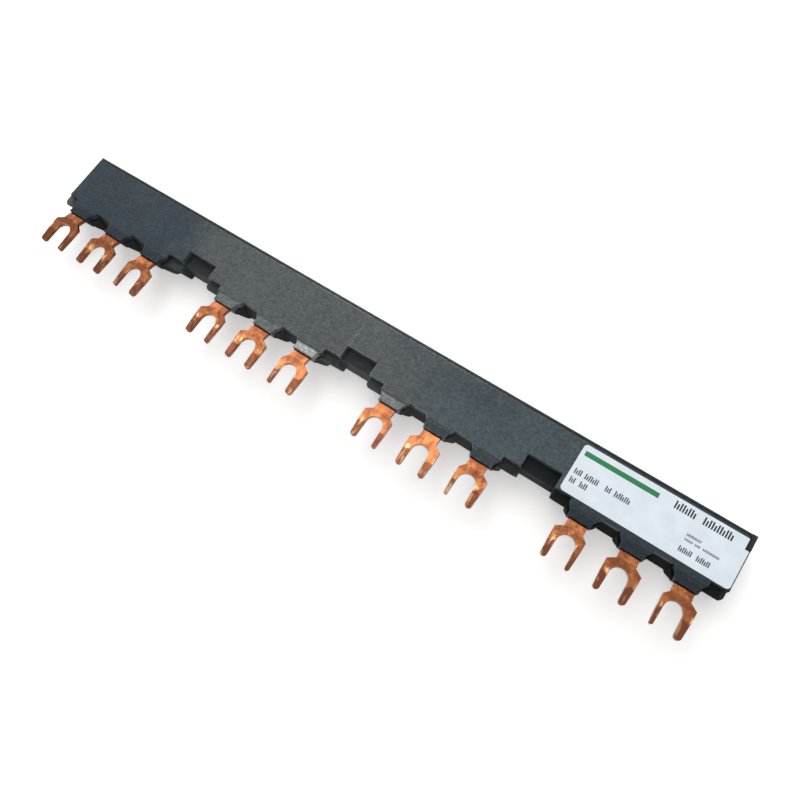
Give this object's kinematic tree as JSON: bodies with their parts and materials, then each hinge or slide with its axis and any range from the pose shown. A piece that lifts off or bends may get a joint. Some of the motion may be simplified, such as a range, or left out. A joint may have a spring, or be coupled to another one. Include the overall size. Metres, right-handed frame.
{
  "type": "comb busbar",
  "caption": "Insulated three-phase comb busbar: moulded housing with copper forks along one edge that feed a row of motor starters side by side.",
  "frame": {"origin": "centre of the bounding box in X and Y, on the plane of the housing's rear face", "axes": "+X along the bar, +Y from the forks' tips to the housing's top edge, +Z from the rear face to the labelled front face"},
  "size_m": [0.206, 0.0304, 0.0105],
  "materials": {
    "shell": "moulded thermoplastic, fine matte grain",
    "cover": "moulded thermoplastic, satin on the flat face",
    "copper": "bare stamped copper, slightly tarnished",
    "sheet": "pressed insulating sheet",
    "label": "adhesive film label"
  },
  "bodies": {
    "root": {"rear_shell": "shell", "cover_left": "cover", "cover_right": "cover", "bar_l1": "copper", "bar_l2": "copper", "bar_l3": "copper", "separator_rear": "sheet", "separator_front": "sheet", "label": "label"}
  },
  "joints": []
}
